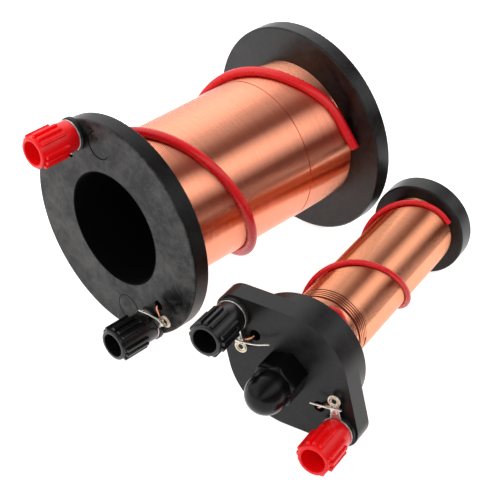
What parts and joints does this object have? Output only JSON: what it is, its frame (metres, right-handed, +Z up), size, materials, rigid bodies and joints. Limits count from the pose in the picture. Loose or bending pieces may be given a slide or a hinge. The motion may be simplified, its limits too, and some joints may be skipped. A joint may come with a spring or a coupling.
{
  "type": "induction coil",
  "caption": "Demonstration induction coil: a flanged copper-wound secondary, a slim primary that fits its bore, binding posts with ribbed knobs, and a pull-out iron core with a domed cap.",
  "frame": {"origin": "on the table, under the middle of the pair's box", "axes": "+Z up, +Y along the secondary's axis from its terminal face to its rear flange, +X towards the primary coil"},
  "size_m": [0.1391, 0.1204, 0.075],
  "materials": {
    "moulded_black": "moulded, satin with faint flow marks",
    "gloss_black": "polished",
    "black_knob": "moulded, satin",
    "red_knob": "moulded, glossy",
    "red_sleeve": "soft extruded sleeve, glossy",
    "enamelled_copper": "fine enamelled copper wire, satin round the turns",
    "tinned_lug": "tinned, a little tarnished",
    "stud_steel": "plated",
    "insert_brass": "turned",
    "soft_iron": "drawn rod"
  },
  "bodies": {
    "secondary": {"secondary_tube": "moulded_black", "secondary_front_flange": "moulded_black", "secondary_rear_flange": "moulded_black", "secondary_winding": "enamelled_copper", "secondary_turns": "enamelled_copper", "secondary_marker_tube": "red_sleeve", "secondary_black_stud": "stud_steel", "secondary_red_stud": "stud_steel", "secondary_black_collar": "moulded_black", "secondary_red_collar": "moulded_black", "secondary_black_lug": "tinned_lug", "secondary_red_lug": "tinned_lug", "secondary_black_lead": "enamelled_copper", "secondary_red_lead": "enamelled_copper"},
    "primary": {"primary_base_plate": "moulded_black", "primary_tube": "moulded_black", "primary_end_disc": "moulded_black", "primary_winding": "enamelled_copper", "primary_turns": "enamelled_copper", "primary_marker_tube": "red_sleeve", "primary_black_stud": "stud_steel", "primary_red_stud": "stud_steel", "primary_black_collar": "moulded_black", "primary_red_collar": "moulded_black", "primary_black_lug": "tinned_lug", "primary_red_lug": "tinned_lug", "primary_black_lead": "enamelled_copper", "primary_red_lead": "enamelled_copper"},
    "core": {"iron_core": "soft_iron", "core_cap": "gloss_black"},
    "secondary_black_insert": {"secondary_black_insert": "insert_brass"},
    "secondary_black_knob": {"secondary_black_knob": "black_knob"},
    "secondary_red_insert": {"secondary_red_insert": "insert_brass"},
    "secondary_red_knob": {"secondary_red_knob": "red_knob"},
    "primary_black_insert": {"primary_black_insert": "insert_brass"},
    "primary_black_knob": {"primary_black_knob": "black_knob"},
    "primary_red_insert": {"primary_red_insert": "insert_brass"},
    "primary_red_knob": {"primary_red_knob": "red_knob"}
  },
  "joints": [
    {"name": "primary_carry", "type": "slide", "parent": "secondary", "child": "primary", "axis": [0.2504, -0.9681, 0], "range_m": [0, 0.1]},
    {"name": "core_pull", "type": "slide", "parent": "primary", "child": "core", "axis": [0.2501, -0.9671, 0.0465], "range_m": [0, 0.085]},
    {"name": "secondary_black_rise", "type": "slide", "parent": "secondary", "child": "secondary_black_insert", "axis": [0, -1, 0], "range_m": [0, 0.0035]},
    {"name": "secondary_black_turn", "type": "hinge", "parent": "secondary_black_insert", "child": "secondary_black_knob", "pos_m": [-0.01539, -0.04369, 0.00892], "axis": [0, -1, 0], "range_deg": [0, 1800]},
    {"name": "secondary_red_rise", "type": "slide", "parent": "secondary", "child": "secondary_red_insert", "axis": [0, -1, 0], "range_m": [0, 0.0035]},
    {"name": "secondary_red_turn", "type": "hinge", "parent": "secondary_red_insert", "child": "secondary_red_knob", "pos_m": [-0.04839, -0.04369, 0.06608], "axis": [0, -1, 0], "range_deg": [0, 1800]},
    {"name": "primary_black_rise", "type": "slide", "parent": "primary", "child": "primary_black_insert", "axis": [0.2501, -0.9671, 0.0465], "range_m": [0, 0.0035]},
    {"name": "primary_black_turn", "type": "hinge", "parent": "primary_black_insert", "child": "primary_black_knob", "pos_m": [0.02394, -0.04442, 0.03539], "axis": [0.2501, -0.9671, 0.0465], "range_deg": [0, 1800]},
    {"name": "primary_red_rise", "type": "slide", "parent": "primary", "child": "primary_red_insert", "axis": [0.2501, -0.9671, 0.0465], "range_m": [0, 0.0035]},
    {"name": "primary_red_turn", "type": "hinge", "parent": "primary_red_insert", "child": "primary_red_knob", "pos_m": [0.06038, -0.03637, 0.00682], "axis": [0.2501, -0.9671, 0.0465], "range_deg": [0, 1800]}
  ],
  "couplings": [
    {"joint": "secondary_black_turn", "follows": "secondary_black_rise", "rad_per_m": 8975.1},
    {"joint": "secondary_red_turn", "follows": "secondary_red_rise", "rad_per_m": 8975.1},
    {"joint": "primary_black_turn", "follows": "primary_black_rise", "rad_per_m": 8975.1},
    {"joint": "primary_red_turn", "follows": "primary_red_rise", "rad_per_m": 8975.1}
  ]
}
